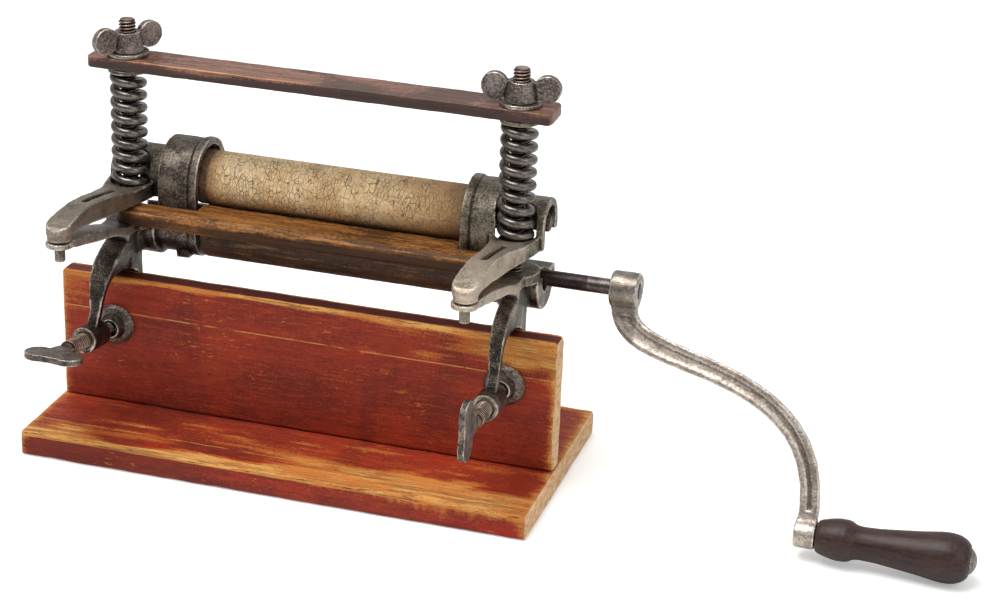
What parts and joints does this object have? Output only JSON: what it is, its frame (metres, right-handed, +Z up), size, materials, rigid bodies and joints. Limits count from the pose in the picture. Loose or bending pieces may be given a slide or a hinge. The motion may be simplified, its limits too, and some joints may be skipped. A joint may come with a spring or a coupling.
{
  "type": "laundry wringer",
  "caption": "Small hand-cranked clothes wringer: rubber rollers in cast-iron frames under sprung screws and a wooden bar, clamped to a red wooden stand.",
  "frame": {"origin": "middle of the base board's underside, on the table", "axes": "+X along the rollers towards the crank, +Y to the back of the stand, +Z up"},
  "size_m": [0.3575, 0.1126, 0.1606],
  "materials": {
    "painted_pine": "red paint worn through to yellow pine along the edges",
    "brown_wood": "dark brown, oiled and worn",
    "grip_wood": "turned, dark stain, satin",
    "iron": "grey, slightly rough casting",
    "bright_iron": "light grey, worn smooth by hands",
    "steel": "dull grey drawn steel",
    "rusty_steel": "dull steel with brown rust",
    "cream_rubber": "aged cream rubber, finely cracked",
    "brown_rubber": "aged dark brown rubber, dull"
  },
  "bodies": {
    "stand": {"base_board": "painted_pine", "upright_board": "painted_pine", "stand_screws": "steel", "lower_frame_left": "iron", "lower_frame_right": "iron", "threaded_rod_left": "rusty_steel", "threaded_rod_right": "rusty_steel", "guide_board": "brown_wood", "spring_left": "steel", "spring_right": "steel"},
    "crank": {"crank_shaft": "rusty_steel", "lower_roller_rubber": "brown_rubber", "crank_arm": "bright_iron", "grip_spindle": "steel"},
    "grip": {"grip": "grip_wood"},
    "top_arms": {"upper_arm_left": "iron", "upper_arm_right": "iron", "pivot_pin_left": "iron", "pivot_pin_right": "iron"},
    "upper_roller": {"upper_roller_shaft": "rusty_steel", "upper_roller_rubber": "cream_rubber"},
    "crossbar": {"crossbar": "brown_wood", "spring_washer_left": "steel", "spring_washer_right": "steel", "nut_washer_left": "steel", "nut_washer_right": "steel"},
    "wing_nut_left": {"wing_nut_left": "iron"},
    "wing_nut_right": {"wing_nut_right": "iron"},
    "clamp_pad_left": {"clamp_pad_left": "iron"},
    "clamp_screw_left": {"clamp_screw_left": "rusty_steel"},
    "clamp_pad_right": {"clamp_pad_right": "iron"},
    "clamp_screw_right": {"clamp_screw_right": "rusty_steel"}
  },
  "joints": [
    {"name": "crank_turn", "type": "hinge", "parent": "stand", "child": "crank", "pos_m": [0.117, 0.0125, 0.0776], "axis": [1, 0, 0], "continuous": true},
    {"name": "grip_spin", "type": "hinge", "parent": "crank", "child": "grip", "pos_m": [0.22, -0.02395, 0.0092], "axis": [1, 0, 0], "continuous": true},
    {"name": "roller_lift", "type": "hinge", "parent": "stand", "child": "top_arms", "pos_m": [0.0014, -0.064, 0.0948], "axis": [1, 0, 0], "range_deg": [0, 3], "deforming": ["spring_left", "spring_right"]},
    {"name": "upper_roller_turn", "type": "hinge", "parent": "top_arms", "child": "upper_roller", "pos_m": [0.0014, 0.0125, 0.0989], "axis": [1, 0, 0], "continuous": true},
    {"name": "crossbar_travel", "type": "slide", "parent": "stand", "child": "crossbar", "axis": [0, 0, 1], "range_m": [-0.006, 0.004], "deforming": ["spring_left", "spring_right"]},
    {"name": "wing_nut_left_turn", "type": "hinge", "parent": "crossbar", "child": "wing_nut_left", "pos_m": [-0.0748, 0.0018, 0.152], "axis": [0, 0, 1], "range_deg": [-1698, 1130]},
    {"name": "wing_nut_right_turn", "type": "hinge", "parent": "crossbar", "child": "wing_nut_right", "pos_m": [0.0776, 0.0018, 0.152], "axis": [0, 0, 1], "range_deg": [-1699, 1131]},
    {"name": "clamp_left_travel", "type": "slide", "parent": "stand", "child": "clamp_pad_left", "axis": [0.052, 0.9922, -0.1132], "range_m": [-0.006, 0]},
    {"name": "clamp_left_turn", "type": "hinge", "parent": "clamp_pad_left", "child": "clamp_screw_left", "pos_m": [-0.0778, -0.033, 0.0451], "axis": [0.052, 0.9922, -0.1132], "range_deg": [-1700, 0]},
    {"name": "clamp_right_travel", "type": "slide", "parent": "stand", "child": "clamp_pad_right", "axis": [0, 0.9986, -0.0523], "range_m": [-0.006, 0]},
    {"name": "clamp_right_turn", "type": "hinge", "parent": "clamp_pad_right", "child": "clamp_screw_right", "pos_m": [0.0792, -0.033, 0.0438], "axis": [0, 0.9986, -0.0523], "range_deg": [-1700, 0]}
  ],
  "couplings": [
    {"joint": "upper_roller_turn", "follows": "crank_turn", "ratio": -1},
    {"joint": "crossbar_travel", "follows": "wing_nut_left_turn", "m_per_rad": 0.00020213},
    {"joint": "wing_nut_right_turn", "follows": "wing_nut_left_turn", "ratio": 1},
    {"joint": "clamp_left_travel", "follows": "clamp_left_turn", "m_per_rad": 0.00020213},
    {"joint": "clamp_right_travel", "follows": "clamp_right_turn", "m_per_rad": 0.00020213}
  ]
}
